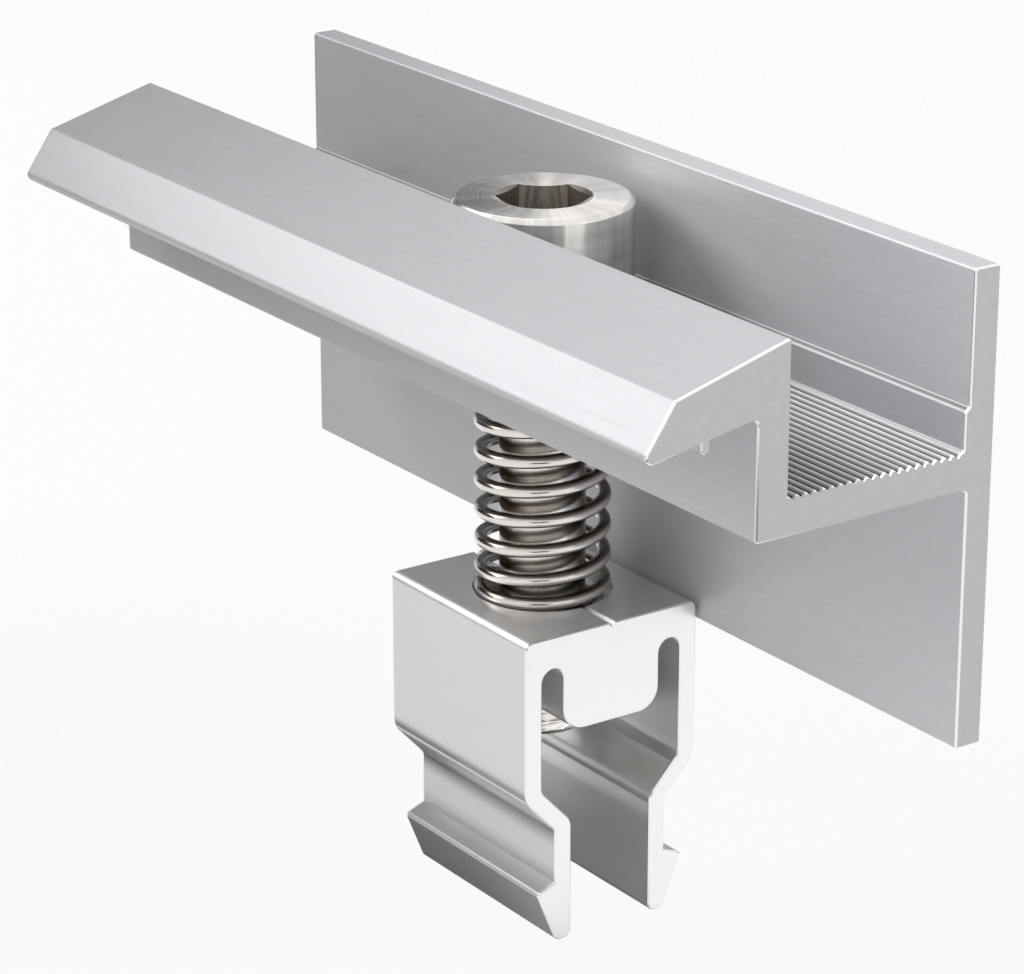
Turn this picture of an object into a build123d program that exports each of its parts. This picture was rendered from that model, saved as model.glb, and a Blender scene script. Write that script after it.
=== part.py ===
from build123d import *
import os
from math import atan2, ceil, cos, floor, pi, radians, sin, tan, tau

# Solar panel end clamp, in millimetres.
# The origin is on the screw's axis, level with the foot of the back plate.
# X runs along the extruded clamp body, +Y points to its back plate, +Z is up.

# Clamp body: one aluminium extrusion, cut to length and drilled
BODY_LENGTH = 80.0
NEAR_END_TO_SCREW = 37.0
PLATE_HEIGHT = 33.5
PLATE_WALL = 2.1
BAND_PAD = 0.35
BAND_HEIGHT = 2.7
SHELF_TOP = 21.1
SHELF_WALL = 2.7
LEG_WALL = 2.5
HEAD_SIDE_CLEARANCE = 0.65
HEAD_PLATE_CLEARANCE = 0.95
NOSE_RISE = 10.5
NOSE_REACH = 9.0
NOSE_SLOPE_DROP = 2.45
BEVEL_REACH = 2.8
BEVEL_DROP = 4.0
NOSE_ROOT_DEPTH = 4.9
NOSE_TIP_RADIUS = 0.5
EDGE_RADIUS = 0.2
INNER_RADIUS = 0.4
CUT_END_CHAMFER = 0.12

# Serrations on the shelf and the bite ridge under the nose
TOOTH_PITCH = 0.72
TOOTH_DEPTH = 0.3
TOOTH_CREST = 0.05
TOOTH_STEEP_SHARE = 0.4
BITE_RIDGE_FROM_LEG = 4.1
BITE_RIDGE_WIDTH = 0.72
BITE_RIDGE_HEIGHT = 0.8
BITE_RIDGE_TAPER = 0.08

# M8 socket head cap screw, waisted above its thread
THREAD_DIAMETER = 7.9
THREAD_LENGTH = 9.4
WAIST_DIAMETER = 6.3
SCREW_LENGTH = 32.0
HEAD_DIAMETER = 13.0
HEAD_HEIGHT = 8.0
HEAD_EDGE = 0.45
HEX_ACROSS_FLATS = 6.0
HEX_DEPTH = 4.5
HEX_TURN = 55.0
HEX_MOUTH_PLAY = 0.03
HEX_LEAD_IN = 0.16
SOCKET_POINT_DEPTH = 1.2
SCREW_END_CHAMFER = 0.9
SCREW_HOLE_CLEARANCE = 0.25
HEAD_SEAT_CLEARANCE = 0.03

# Spring lock washer pressed flat under the head
LOCK_WASHER_DIAMETER = 12.7
LOCK_WASHER_HEIGHT = 2.0
LOCK_WASHER_PLAY = 0.1
LOCK_WASHER_GAP = 1.0
LOCK_WASHER_GAP_LEAN = 30.0
LOCK_WASHER_GAP_TURN = 70.0

# Compression spring round the screw, with the round wire drawn as an even prism to keep its coils light
WIRE = 1.0
WIRE_SIDES = 6
SPRING_SCREW_CLEARANCE = 0.05
SPRING_END_CLEARANCE = 0.02
ACTIVE_PITCH = 2.25
CLOSED_TURNS = 0.7
CLOSED_GAP = 0.04
SPRING_START_TURN = 200.0
POINTS_PER_TURN = 16

# Channel nut: a second extrusion with two clip legs, its length along X
NUT_TOP = 1.6
NUT_LENGTH = 17.4
NUT_PLATE_CLEARANCE = 0.3
NUT_WALL = 1.4
NUT_WEB = 2.45
NUT_BLOCK_WALL = 0.2
NUT_BLOCK_DEPTH = 7.6
NUT_BLOCK_RADIUS = 1.8
NUT_TOP_RADIUS = 0.6
NUT_SHOULDER_DEPTH = 12.3
NUT_SHOULDER_DROP = 2.8
NUT_NECK_HALF_WIDTH = 4.9
NUT_NECK_DEPTH = 4.1
SHOULDER_RADIUS = 2.0
SHOULDER_INNER_RADIUS = 1.0
NECK_RADIUS = 0.5
NECK_INNER_RADIUS = 1.3
HOOK_REACH = 1.6
HOOK_TOP_DROP = 0.6
HOOK_DEPTH = 4.65
HOOK_TIP_WIDTH = 1.35
HOOK_EDGE_RADIUS = 0.3
HOOK_TIP_RADIUS = 0.6
SPRING_SEAT_DEPTH = 0.5
SPRING_SEAT_PLAY = 0.15
THREAD_CLEARANCE = 0.05
THREAD_LEAD_IN = 0.3
SCORE_WIDTH = 0.5
SCORE_DEPTH = 0.35
NUT_END_CHAMFER = 0.1

# Places that several pieces share
head_radius = HEAD_DIAMETER / 2
thread_radius = THREAD_DIAMETER / 2
waist_radius = WAIST_DIAMETER / 2
leg_back = -(head_radius + HEAD_SIDE_CLEARANCE)
leg_front = leg_back - LEG_WALL
band_front = head_radius + HEAD_PLATE_CLEARANCE
plate_front = band_front + BAND_PAD
plate_back = plate_front + PLATE_WALL
shelf_bottom = SHELF_TOP - SHELF_WALL
washer_seat = SHELF_TOP + HEAD_SEAT_CLEARANCE
head_seat = washer_seat + LOCK_WASHER_HEIGHT
nut_half_width = plate_front - NUT_PLATE_CLEARANCE
spring_radius = thread_radius + SPRING_SCREW_CLEARANCE + WIRE / 2
spring_seat = NUT_TOP - SPRING_SEAT_DEPTH
body_far_end = NEAR_END_TO_SCREW - BODY_LENGTH


def rounded_face(corners):
    """Face in the plane of X and Y from (x, y, radius) corners, each rounded by its own radius."""
    face = make_face(Polyline([(x, y) for x, y, _ in corners], close=True))
    for x, y, radius in corners:
        if radius:
            corner = face.vertices().sort_by_distance((x, y))[0]
            face = fillet(corner, radius)
    return face


def extrude_profile(profile, start, length):
    """Profile drawn in (Y, Z), extruded along +X from start."""
    return extrude(Plane.YZ.offset(start) * profile, amount=length)


def chamfer_cut_ends(solid, size):
    """Break the sharp edges that the saw leaves round both ends of an extruded length."""
    ends = solid.faces().filter_by(Axis.X).sort_by(Axis.X)
    edges = ends[0].edges() + ends[-1].edges()
    return chamfer(edges, size)


# Clamp body
def clamp_body():
    nose_top = SHELF_TOP + NOSE_RISE
    ridge_y = leg_back - NOSE_REACH
    ridge_z = nose_top - NOSE_SLOPE_DROP
    tip_y = ridge_y - BEVEL_REACH
    tip_z = ridge_z - BEVEL_DROP
    root_z = nose_top - NOSE_ROOT_DEPTH
    band_top = SHELF_TOP + BAND_HEIGHT
    outline = rounded_face([
        (plate_back, 0, EDGE_RADIUS),
        (plate_back, PLATE_HEIGHT, EDGE_RADIUS),
        (plate_front, PLATE_HEIGHT, EDGE_RADIUS),
        (plate_front, band_top + BAND_PAD, 0),
        (band_front, band_top, 0),
        (band_front, SHELF_TOP, EDGE_RADIUS),
        (leg_back, SHELF_TOP, 0),
        (leg_back, nose_top, EDGE_RADIUS),
        (ridge_y, ridge_z, EDGE_RADIUS),
        (tip_y, tip_z, NOSE_TIP_RADIUS),
        (leg_front, root_z, INNER_RADIUS),
        (leg_front, shelf_bottom, EDGE_RADIUS),
        (plate_front, shelf_bottom, INNER_RADIUS),
        (plate_front, 0, EDGE_RADIUS),
    ])
    ridge = bite_ridge(tip_y, tip_z, root_z)
    body = extrude_profile(outline + ridge, body_far_end, BODY_LENGTH)
    body = chamfer_cut_ends(body, CUT_END_CHAMFER)
    body -= extrude_profile(serration_grooves(), body_far_end, BODY_LENGTH)
    hole_radius = thread_radius + SCREW_HOLE_CLEARANCE
    body -= Pos(0, 0, shelf_bottom) * Cylinder(
        hole_radius, SHELF_WALL, align=(Align.CENTER, Align.CENTER, Align.MIN)
    )
    return body


def bite_ridge(tip_y, tip_z, root_z):
    """Tapered ridge with a round end that hangs from the sloping underside of the nose."""
    y = leg_front - BITE_RIDGE_FROM_LEG
    slope = (root_z - tip_z) / (leg_front - tip_y)
    z = root_z - slope * BITE_RIDGE_FROM_LEG
    half = BITE_RIDGE_WIDTH / 2
    end_half = half - BITE_RIDGE_TAPER
    end_radius = 0.8 * end_half
    return rounded_face([
        (y - half, z + BITE_RIDGE_HEIGHT, 0),
        (y - end_half, z - BITE_RIDGE_HEIGHT, end_radius),
        (y + end_half, z - BITE_RIDGE_HEIGHT, end_radius),
        (y + half, z + BITE_RIDGE_HEIGHT, 0),
    ])


def serration_grooves():
    """Row of leaning V grooves between the leg and the band, open at the shelf's top."""
    room = band_front - leg_back - EDGE_RADIUS
    count = floor(room / TOOTH_PITCH)
    width = TOOTH_PITCH - TOOTH_CREST
    steep = width * TOOTH_STEEP_SHARE
    groove = make_face(Polyline([
        (-width / 2, TOOTH_DEPTH),
        (-width / 2, 0),
        (width / 2 - steep, -TOOTH_DEPTH),
        (width / 2, 0),
        (width / 2, TOOTH_DEPTH),
    ], close=True))
    first = leg_back + TOOTH_PITCH / 2
    places = [Pos(first + step * TOOTH_PITCH, SHELF_TOP) for step in range(count)]
    return Sketch() + [place * groove for place in places]


# Cap screw
def cap_screw():
    head_top = head_seat + HEAD_HEIGHT
    base = (Align.CENTER, Align.CENTER, Align.MIN)
    head = Pos(0, 0, head_seat) * Cylinder(head_radius, HEAD_HEIGHT, align=base)
    head = chamfer(head.edges().sort_by(Axis.Z)[-1], HEAD_EDGE)
    foot = Pos(0, 0, head_seat - SCREW_LENGTH)
    waist = foot * Cylinder(waist_radius, SCREW_LENGTH, align=base)
    thread = foot * Cylinder(thread_radius, THREAD_LENGTH, align=base)
    thread = chamfer(thread.edges().sort_by(Axis.Z)[0], SCREW_END_CHAMFER)
    thread = chamfer(thread.edges().sort_by(Axis.Z)[-1], thread_radius - waist_radius)
    return head + waist + thread - hex_socket(head_top)


def hex_socket(head_top):
    """Hexagonal hole with a drill point below it and a turned lead-in at its mouth."""
    flat = HEX_ACROSS_FLATS / 2
    corner = flat / cos(pi / 6)
    hexagon = Rot(0, 0, HEX_TURN) * RegularPolygon(flat, 6, major_radius=False)
    prism = extrude(Pos(0, 0, head_top - HEX_DEPTH) * hexagon, amount=HEX_DEPTH)
    down = (Align.CENTER, Align.CENTER, Align.MAX)
    point = Pos(0, 0, head_top - HEX_DEPTH) * Cone(0, flat, SOCKET_POINT_DEPTH, align=down)
    mouth = corner + HEX_MOUTH_PLAY
    lead_in = Pos(0, 0, head_top) * Cone(flat - HEX_MOUTH_PLAY, mouth, HEX_LEAD_IN, align=down)
    return prism + point + lead_in


# Lock washer
def lock_washer():
    """Split ring under the head, with a leaning gap between its two ends."""
    base = (Align.CENTER, Align.CENTER, Align.MIN)
    bore_radius = thread_radius + LOCK_WASHER_PLAY
    ring = Cylinder(LOCK_WASHER_DIAMETER / 2, LOCK_WASHER_HEIGHT, align=base)
    ring -= Cylinder(bore_radius, LOCK_WASHER_HEIGHT, align=base)
    reach = (Align.MIN, Align.CENTER, Align.CENTER)
    gap = Box(LOCK_WASHER_DIAMETER, LOCK_WASHER_GAP, LOCK_WASHER_HEIGHT * 3, align=reach)
    gap = Pos(0, 0, LOCK_WASHER_HEIGHT / 2) * Rot(LOCK_WASHER_GAP_LEAN, 0, 0) * gap
    return Pos(0, 0, washer_seat) * Rot(0, 0, LOCK_WASHER_GAP_TURN) * (ring - gap)


# Compression spring
def compression_spring():
    low = spring_seat + SPRING_END_CLEARANCE + WIRE / 2
    high = shelf_bottom - SPRING_END_CLEARANCE - WIRE / 2
    closed_rise = CLOSED_TURNS * (WIRE + CLOSED_GAP)
    active_turns = (high - low - 2 * closed_rise) / ACTIVE_PITCH
    turns = active_turns + 2 * CLOSED_TURNS
    steps = ceil(turns * POINTS_PER_TURN)

    def height(turn):
        """Axial place of the wire after so many turns, slow in the closed turns at both ends."""
        if turn < CLOSED_TURNS:
            return low + closed_rise * turn / CLOSED_TURNS
        if turn > turns - CLOSED_TURNS:
            return high - closed_rise * (turns - turn) / CLOSED_TURNS
        return low + closed_rise + ACTIVE_PITCH * (turn - CLOSED_TURNS)

    points = []
    for step in range(steps + 1):
        turn = turns * step / steps
        angle = radians(SPRING_START_TURN) + tau * turn
        points.append((spring_radius * cos(angle), spring_radius * sin(angle), height(turn)))
    path = Spline(points)
    section = Plane(origin=path @ 0, z_dir=path % 0) * RegularPolygon(WIRE / 2, WIRE_SIDES)
    return sweep(section, path=path, is_frenet=True)


# Channel nut
def channel_nut():
    block_half = thread_radius + THREAD_CLEARANCE + NUT_BLOCK_WALL
    inner_half = nut_half_width - NUT_WALL
    shoulder_end = NUT_SHOULDER_DEPTH + NUT_SHOULDER_DROP
    hook_top = shoulder_end + NUT_NECK_DEPTH
    hook_half = NUT_NECK_HALF_WIDTH + HOOK_REACH
    neck_inner = NUT_NECK_HALF_WIDTH - NUT_WALL
    bottom = hook_top + HOOK_DEPTH
    slope = atan2(nut_half_width - NUT_NECK_HALF_WIDTH, NUT_SHOULDER_DROP)
    lean = NUT_WALL * tan(slope / 2)
    slot_radius = (inner_half - block_half) / 2 - 0.001
    side = [
        (nut_half_width, 0, NUT_TOP_RADIUS),
        (nut_half_width, -NUT_SHOULDER_DEPTH, SHOULDER_RADIUS),
        (NUT_NECK_HALF_WIDTH, -shoulder_end, NECK_RADIUS),
        (NUT_NECK_HALF_WIDTH, -hook_top, 0),
        (hook_half, -hook_top - HOOK_TOP_DROP, HOOK_EDGE_RADIUS),
        (neck_inner + HOOK_TIP_WIDTH, -bottom, HOOK_TIP_RADIUS),
        (neck_inner, -bottom, HOOK_TIP_RADIUS),
        (neck_inner, -shoulder_end + lean, NECK_INNER_RADIUS),
        (inner_half, -NUT_SHOULDER_DEPTH + lean, SHOULDER_INNER_RADIUS),
        (inner_half, -NUT_WEB, slot_radius),
        (block_half, -NUT_WEB, slot_radius),
        (block_half, -NUT_BLOCK_DEPTH, NUT_BLOCK_RADIUS),
    ]
    mirrored = [(-y, z, radius) for y, z, radius in reversed(side)]
    profile = Pos(0, NUT_TOP) * rounded_face(side + mirrored)
    score = Pos(0, NUT_TOP) * make_face(Polyline([
        (-SCORE_WIDTH / 2, 0),
        (0, -SCORE_DEPTH),
        (SCORE_WIDTH / 2, 0),
    ], close=True))
    nut = extrude_profile(profile - score, -NUT_LENGTH / 2, NUT_LENGTH)
    nut = chamfer_cut_ends(nut, NUT_END_CHAMFER)
    bore_radius = thread_radius + THREAD_CLEARANCE
    down = (Align.CENTER, Align.CENTER, Align.MAX)
    bore = Pos(0, 0, NUT_TOP) * Cylinder(bore_radius, NUT_BLOCK_DEPTH, align=down)
    seat_radius = spring_radius + WIRE / 2 + SPRING_SEAT_PLAY
    seat = Pos(0, 0, NUT_TOP) * Cylinder(seat_radius, SPRING_SEAT_DEPTH, align=down)
    lead_in = Pos(0, 0, spring_seat) * Cone(
        bore_radius, bore_radius + THREAD_LEAD_IN, THREAD_LEAD_IN, align=down
    )
    return nut - bore - seat - lead_in


pieces = {
    "clamp_body": clamp_body(),
    "cap_screw": cap_screw(),
    "lock_washer": lock_washer(),
    "compression_spring": compression_spring(),
    "channel_nut": channel_nut(),
}
os.makedirs("parts", exist_ok=True)
for name, piece in pieces.items():
    piece.label = name
    export_step(piece, f"parts/{name}.step")
    print(name, "volume", round(piece.volume, 1), "valid", piece.is_valid)
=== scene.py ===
# %% [markdown]
# # A solar panel end clamp
# This clamp holds the edge of the last solar panel in a row. A length of aluminium extrusion has
# a bevelled nose that grips the panel, a serrated shelf that the screw's head sits on, and a flat
# back plate that stands on the rail. A socket cap screw goes down through a spring into a channel
# nut, whose two hooked legs snap into the rail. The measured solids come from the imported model,
# and this script gives them their finishes, and draws the screw and the spring in finer detail.

# %% Load the measured solids
import bpy
import numpy as np
from math import cos, pi, radians, sin, tau
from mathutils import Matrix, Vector


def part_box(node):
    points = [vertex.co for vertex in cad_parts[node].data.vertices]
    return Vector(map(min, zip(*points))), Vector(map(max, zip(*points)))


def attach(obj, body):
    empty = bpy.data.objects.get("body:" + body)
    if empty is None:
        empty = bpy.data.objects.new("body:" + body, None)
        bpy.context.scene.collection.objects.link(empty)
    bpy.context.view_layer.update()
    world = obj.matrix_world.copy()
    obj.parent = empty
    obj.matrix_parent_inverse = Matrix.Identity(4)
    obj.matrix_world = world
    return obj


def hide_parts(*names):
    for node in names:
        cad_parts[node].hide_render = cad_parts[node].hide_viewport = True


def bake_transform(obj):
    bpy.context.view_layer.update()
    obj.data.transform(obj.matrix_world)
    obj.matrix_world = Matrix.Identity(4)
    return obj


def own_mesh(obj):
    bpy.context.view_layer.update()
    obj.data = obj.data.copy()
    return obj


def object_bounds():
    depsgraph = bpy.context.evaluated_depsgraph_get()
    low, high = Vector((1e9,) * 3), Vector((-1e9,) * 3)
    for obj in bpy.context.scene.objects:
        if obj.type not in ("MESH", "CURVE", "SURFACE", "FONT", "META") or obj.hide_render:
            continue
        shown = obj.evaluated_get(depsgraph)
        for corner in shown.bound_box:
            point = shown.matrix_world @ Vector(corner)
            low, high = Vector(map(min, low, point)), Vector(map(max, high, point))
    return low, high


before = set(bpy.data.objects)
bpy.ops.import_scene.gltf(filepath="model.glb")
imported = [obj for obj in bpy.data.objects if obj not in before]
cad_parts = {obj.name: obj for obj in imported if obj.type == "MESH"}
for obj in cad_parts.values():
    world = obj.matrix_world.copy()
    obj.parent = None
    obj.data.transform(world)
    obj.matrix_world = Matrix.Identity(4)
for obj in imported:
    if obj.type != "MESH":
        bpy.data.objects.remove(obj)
cad_low, cad_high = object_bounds()
MM = 0.001
print("solids:", sorted(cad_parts))
print("size in mm:", [round(v / MM, 2) for v in cad_high - cad_low])

# %% [markdown]
# ## The camera
# The picture looks down on the near end of the clamp from in front and to the right. A long lens
# keeps its long edges nearly parallel. The camera's place, its turn and its lens are one set, which
# was solved from the clamp's own corners, so none of them is changed alone.

# %% Place the camera
CAMERA_PLACE = Vector((214.04, -150.96, 104.18)) * MM
CAMERA_YAW = radians(55.29)
CAMERA_PITCH = radians(19.92)
FOCAL_LENGTH_IN_PIXELS = 3848.08
PICTURE_WIDTH_IN_PIXELS = 1024
SENSOR_WIDTH = 36.0
NEAREST_SEEN = 0.01


def place_camera():
    """Camera that looks along the yaw, measured from +Y towards -X, and down by the pitch."""
    data = bpy.data.cameras.new("picture camera")
    data.sensor_width = SENSOR_WIDTH
    data.lens = FOCAL_LENGTH_IN_PIXELS / PICTURE_WIDTH_IN_PIXELS * SENSOR_WIDTH
    data.clip_start = NEAREST_SEEN
    camera = bpy.data.objects.new("picture camera", data)
    camera.location = CAMERA_PLACE
    camera.rotation_euler = (pi / 2 - CAMERA_PITCH, 0, CAMERA_YAW)
    bpy.context.scene.collection.objects.link(camera)
    bpy.context.scene.camera = camera
    return camera


camera = place_camera()
print("lens in mm:", round(camera.data.lens, 1))

# %% [markdown]
# ## Wiring shader nodes
# Every finish below is a small graph of shader nodes. One helper makes a node, fills in its plain
# values and joins its inputs, so that each graph reads as a list of what feeds what.

# %% A helper for shader nodes
def node(tree, kind, settings=None, **inputs):
    """Adds a node. A value given as (node, output name) is joined, and any other is typed in.

    An input goes by its own name, with _ for a space, or by its number, as _0 or _1."""
    made = tree.nodes.new("ShaderNode" + kind)
    for name, value in (settings or {}).items():
        setattr(made, name, value)
    for name, value in inputs.items():
        key = int(name[1:]) if name[0] == "_" else name.replace("_", " ")
        socket = made.inputs[key]
        if isinstance(value, tuple) and isinstance(value[0], bpy.types.Node):
            tree.links.new(value[0].outputs[value[1]], socket)
        else:
            socket.default_value = value
    return made


def math_node(tree, operation, *values):
    """Math node whose inputs are numbers or (node, output name) pairs."""
    inputs = {f"_{i}": value for i, value in enumerate(values)}
    return node(tree, "Math", {"operation": operation}, **inputs)


def blank_material(name):
    """New material with an empty node tree, and its output node."""
    material = bpy.data.materials.new(name)
    material.use_nodes = True
    material.node_tree.nodes.clear()
    return material, node(material.node_tree, "OutputMaterial")


# %% [markdown]
# ## The white room
# The clamp is shown on plain white. The room is white to the camera and to polished metal at a
# strength of one, and gives softer light to everything else. The floor is mostly its own white,
# with a share left of ordinary matt floor so that it still shows the clamp's shadow. It lies a
# little below the nut, because the screw can wind the nut down.

# %% The room and the floor
ROOM_LIGHT = 0.42
FLOOR_OWN_WHITE = 0.92
FLOOR_SIZE = 6.0
NUT_GOES_DOWN = 4.0 * MM


def seen_directly(tree):
    """One for rays from the camera and for mirror and glass rays, and nought for all others."""
    rays = node(tree, "LightPath")
    camera_or_mirror = math_node(tree, "MAXIMUM", (rays, "Is Camera Ray"), (rays, "Is Glossy Ray"))
    return math_node(tree, "MAXIMUM", (camera_or_mirror, 0), (rays, "Is Transmission Ray"))


def white_room():
    world = bpy.data.worlds.new("white room")
    bpy.context.scene.world = world
    world.use_nodes = True
    tree = world.node_tree
    tree.nodes.clear()
    shown = node(tree, "Background", Color=(1, 1, 1, 1), Strength=1.0)
    light = node(tree, "Background", Color=(0.97, 0.98, 1, 1), Strength=ROOM_LIGHT)
    both = node(tree, "MixShader", _0=(seen_directly(tree), 0), _1=(light, 0), _2=(shown, 0))
    node(tree, "OutputWorld", Surface=(both, 0))


def pale_floor(height):
    corners = np.array([(-1, -1, 0), (1, -1, 0), (1, 1, 0), (-1, 1, 0)]) * FLOOR_SIZE / 2
    mesh = bpy.data.meshes.new("floor")
    mesh.from_pydata((corners + (0, 0, height)).tolist(), [], [(0, 1, 2, 3)])
    floor = bpy.data.objects.new("floor", mesh)
    bpy.context.scene.collection.objects.link(floor)
    material, output = blank_material("pale floor")
    tree = material.node_tree
    matt = node(tree, "BsdfDiffuse", Color=(0.86, 0.86, 0.86, 1))
    white = node(tree, "Emission", Color=(1, 1, 1, 1), Strength=1.0)
    share = math_node(tree, "MULTIPLY", (seen_directly(tree), 0), FLOOR_OWN_WHITE)
    both = node(tree, "MixShader", _0=(share, 0), _1=(matt, 0), _2=(white, 0))
    tree.links.new(both.outputs[0], output.inputs["Surface"])
    mesh.materials.append(material)


white_room()
FLOOR_HEIGHT = cad_low.z - NUT_GOES_DOWN
pale_floor(FLOOR_HEIGHT)
view_settings = bpy.context.scene.view_settings
view_settings.view_transform = "Standard"
print("floor height in mm:", round(FLOOR_HEIGHT / MM, 2))

# %% [markdown]
# ## The lamps
# Bare metal shows what stands round it. A large lamp on the left lights the bevel and throws the
# soft shadows on the back plate. A much weaker one on the right reaches the sawn ends, and the
# weakest hangs above. All three are wide squares, so their shadows have soft edges.

# %% Set out the lamps
LAMP_DISTANCE = 0.6
LOOK_AT = Vector((0, 0, 0.012))


def towards(azimuth, elevation):
    """Unit vector; azimuth 0 is the -Y side and 90 is the +X side, as in the other views."""
    a, e = radians(azimuth), radians(elevation)
    return Vector((sin(a) * cos(e), -cos(a) * cos(e), sin(e)))


def lamp(name, azimuth, elevation, size, radiance):
    """Square lamp that faces the clamp. Its power is pi times its area times its radiance."""
    data = bpy.data.lights.new(name, "AREA")
    data.size = size
    data.energy = pi * size * size * radiance
    made = bpy.data.objects.new(name, data)
    direction = towards(azimuth, elevation)
    made.location = LOOK_AT + direction * LAMP_DISTANCE
    made.rotation_euler = direction.to_track_quat("Z", "Y").to_euler()
    bpy.context.scene.collection.objects.link(made)


lamp("left lamp", -50, 26, 0.38, 5.4)
lamp("right lamp", 118, 12, 0.30, 0.9)
lamp("top lamp", -100, 72, 0.40, 0.4)
print("lamps:", len(bpy.data.lights))

# %% [markdown]
# ## Cards for the reflections
# Polished steel is only as dark as what it mirrors, so a photographer stands strips of card close
# to it. Upright strips bent round the screw's axis give its head, its shank and the spring their
# dark bands. A soft card on the floor darkens whatever faces down, and a dark and a bright one
# beyond the far end shade the nose along its length. These are seen only in reflections, so they
# throw no shadow and hide nothing. The last card does throw one: it keeps the left lamp off the
# lower part of the clamp.

# %% Make a card that reflections see
FADE_FROM, FADE_TO = 0.6, 1.3
CARD_STEPS = 25
CARD_DISTANCE = 60.0
ABOVE_FLOOR = 0.02


def only_in_reflections(name, points, faces, shade, fade=None, shades_lamps=False):
    """A card of one shade that reflections see. With fade, which is a middle and two half widths,
    it thins out towards that oval's rim, as a mix with clear air."""
    mesh = bpy.data.meshes.new(name)
    mesh.from_pydata(np.asarray(points).tolist(), [], faces)
    made = bpy.data.objects.new(name, mesh)
    bpy.context.scene.collection.objects.link(made)
    material, output = blank_material(name)
    tree = material.node_tree
    glow = node(tree, "Emission", Color=(*shade, 1), Strength=1.0)
    if fade:
        (middle_x, middle_y), (half_x, half_y) = fade
        from_middle = node(
            tree, "VectorMath", {"operation": "SUBTRACT"}, _0=(node(tree, "TexCoord"), "Object"),
            _1=(middle_x * MM, middle_y * MM, points[0][2]),
        )
        share = node(
            tree, "VectorMath", {"operation": "DIVIDE"}, _0=(from_middle, 0),
            _1=(half_x * MM, half_y * MM, 1),
        )
        distance = node(tree, "VectorMath", {"operation": "LENGTH"}, _0=(share, 0))
        thin = node(
            tree, "MapRange", {"interpolation_type": "SMOOTHSTEP"}, Value=(distance, "Value"),
            _1=FADE_FROM, _2=FADE_TO,
        )
        clear = node(tree, "BsdfTransparent")
        glow = node(tree, "MixShader", _0=(thin, 0), _1=(glow, 0), _2=(clear, 0))
    tree.links.new(glow.outputs[0], output.inputs["Surface"])
    mesh.materials.append(material)
    for kind in ("camera", "transmission", "volume_scatter"):
        setattr(made, "visible_" + kind, False)
    for kind in ("diffuse", "shadow"):
        setattr(made, "visible_" + kind, shades_lamps)


def bent_card(name, azimuths, heights, shade):
    """Strip of an upright cylinder: (d sin a, -d cos a, z) from one azimuth to the other."""
    a = np.radians(np.linspace(*azimuths, CARD_STEPS))
    line = np.stack([CARD_DISTANCE * np.sin(a), -CARD_DISTANCE * np.cos(a)], axis=-1)
    rows = [np.column_stack([line, np.full(len(a), z)]) for z in heights]
    faces = [(i, i + 1, i + 1 + CARD_STEPS, i + CARD_STEPS) for i in range(CARD_STEPS - 1)]
    only_in_reflections(name, np.concatenate(rows) * MM, faces, shade)


def floor_card(name, size, shade, fade):
    z = FLOOR_HEIGHT / MM + ABOVE_FLOOR
    corners = np.array([(-1, -1), (1, -1), (1, 1), (-1, 1)]) * size
    points = np.column_stack([corners, np.full(4, z)]) * MM
    only_in_reflections(name, points, [(0, 1, 2, 3)], shade, fade)


def standing_card(name, x, y_range, z_range, shade, shades_lamps=False):
    (y0, y1), (z0, z1) = y_range, z_range
    corners = np.array([(x, y0, z0), (x, y1, z0), (x, y1, z1), (x, y0, z1)])
    only_in_reflections(name, corners * MM, [(0, 1, 2, 3)], shade, shades_lamps=shades_lamps)


# %% Set out the cards
bent_card("card by the camera", (36, 64), (-3, 15), (0.05, 0.043, 0.038))
bent_card("card on the right", (166, 215), (-26, 15), (0.10, 0.088, 0.078))
floor_card("soft card under the nut", 60, (0.06, 0.057, 0.055), ((-18, 0), (31, 13)))
standing_card("shade for the far nose", -100, (-8, 70), (36, 92), (0.20, 0.20, 0.21))
standing_card("light for the near nose", -100, (-8, 90), (112, 190), (1.6, 1.6, 1.6))
standing_card(
    "shade for the left lamp", -110, (-170, -10), (0, 74), (0.03, 0.03, 0.03), shades_lamps=True,
)

# %% [markdown]
# ## Groups of nodes
# A pattern that several finishes need is made once, as a group of nodes with named inputs and
# outputs. Only colours, masks, numbers and heights come out of a group, and the shader itself
# stays in each material. Three more helpers blend colours and vary numbers.

# %% Helpers for groups and blends
def new_group(name, inputs, outputs):
    """Empty node group with the named sockets; returns it with its input and output nodes."""
    group = bpy.data.node_groups.new(name, "ShaderNodeTree")
    for label, kind, value in inputs:
        socket = group.interface.new_socket(label, in_out="INPUT", socket_type="NodeSocket" + kind)
        if value is not None:
            socket.default_value = value
    for label, kind in outputs:
        group.interface.new_socket(label, in_out="OUTPUT", socket_type="NodeSocket" + kind)
    return group, group.nodes.new("NodeGroupInput"), group.nodes.new("NodeGroupOutput")


def placed(tree, group, **inputs):
    """Places a node group in a material and fills in its named inputs."""
    return node(tree, "Group", {"node_tree": group}, **inputs)


def blended(tree, amount, low, high):
    """Mix node for the colour between low and high, as amount goes from nought to one."""
    ends = [end if isinstance(end[0], bpy.types.Node) else (*end, 1) for end in (low, high)]
    return node(tree, "Mix", {"data_type": "RGBA"}, _0=amount, _6=ends[0], _7=ends[1])


def colour_of(mix):
    """The colour output of a Mix node, which is its third, after a number's and a vector's."""
    return mix, 2


def varied(tree, noise, low, high):
    """Number from low to high, as the noise goes through its usual range from 0.3 to 0.7."""
    return node(tree, "MapRange", Value=noise, _1=0.3, _2=0.7, _3=low, _4=high)


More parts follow.
